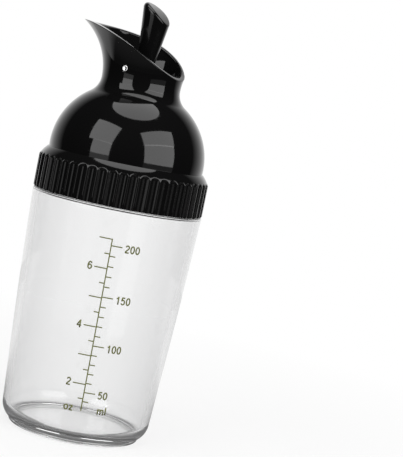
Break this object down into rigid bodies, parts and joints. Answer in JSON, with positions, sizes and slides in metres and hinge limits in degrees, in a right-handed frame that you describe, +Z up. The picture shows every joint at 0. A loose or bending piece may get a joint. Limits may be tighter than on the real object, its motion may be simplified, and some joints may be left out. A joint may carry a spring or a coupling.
{
  "type": "salad dressing shaker bottle",
  "caption": "Clear graduated shaker bottle with a fluted screw collar, a black domed pouring spout and a finger lever that swings back to open a flap in the neck.",
  "frame": {"origin": "centre of the foot ring, on the surface that the bottle stands on", "axes": "+Z up along the bottle's axis, -X towards the pouring lip, Y along the lever's pin"},
  "size_m": [0.0662, 0.0662, 0.168],
  "materials": {
    "clear_plastic": "clear, glossy moulded plastic",
    "black_plastic": "glossy moulded plastic",
    "silicone": "milky satin silicone",
    "pin_steel": "polished stainless"
  },
  "bodies": {
    "vessel": {"bottle": "clear_plastic"},
    "gasket_ring": {"rim_gasket": "silicone"},
    "lid": {"screw_collar": "black_plastic", "spout_dome": "black_plastic", "pivot_pin": "pin_steel"},
    "lever_flap": {"pour_lever": "black_plastic", "valve_seal": "silicone", "valve_disc": "black_plastic"}
  },
  "joints": [
    {"name": "lid_lift", "type": "slide", "parent": "vessel", "child": "gasket_ring", "axis": [0, 0, 1], "range_m": [0, 0.0132]},
    {"name": "lid_turn", "type": "hinge", "parent": "gasket_ring", "child": "lid", "pos_m": [0, 0, 0.1055], "axis": [0, 0, 1], "range_deg": [0, 1080]},
    {"name": "lever_swing", "type": "hinge", "parent": "lid", "child": "lever_flap", "pos_m": [0, 0, 0.1415], "axis": [0, 1, 0], "range_deg": [0, 61]}
  ],
  "couplings": [
    {"joint": "lid_lift", "follows": "lid_turn", "m_per_rad": 0.00070028}
  ]
}
